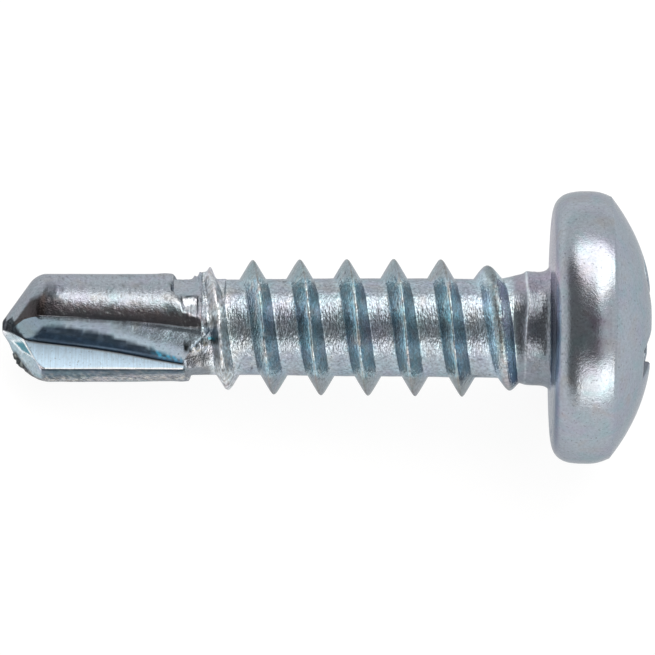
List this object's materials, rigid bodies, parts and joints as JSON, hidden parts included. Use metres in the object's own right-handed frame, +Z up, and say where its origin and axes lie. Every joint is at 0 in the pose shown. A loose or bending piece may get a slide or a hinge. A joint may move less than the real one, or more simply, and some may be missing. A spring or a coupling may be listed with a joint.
{
  "type": "self drilling screw",
  "caption": "Pan-head self-drilling screw in bright zinc plate: domed head with a cross recess, coarse tapping thread and a fluted, forged drill point, lying on its side.",
  "frame": {"origin": "on the floor below the middle of the lying screw's box", "axes": "+X runs along the lying screw, from the drill point towards the head, and +Z is up. The screw's own axis rises 8.9 degrees towards the head, because it rests on the head rim and the drill body."},
  "size_m": [0.022, 0.0092, 0.0093],
  "materials": {
    "zinc_plate": "bright zinc plate with a clear blue passivate, semi-gloss, on case-hardened carbon steel"
  },
  "bodies": {
    "root": {"screw": "zinc_plate"}
  },
  "joints": []
}
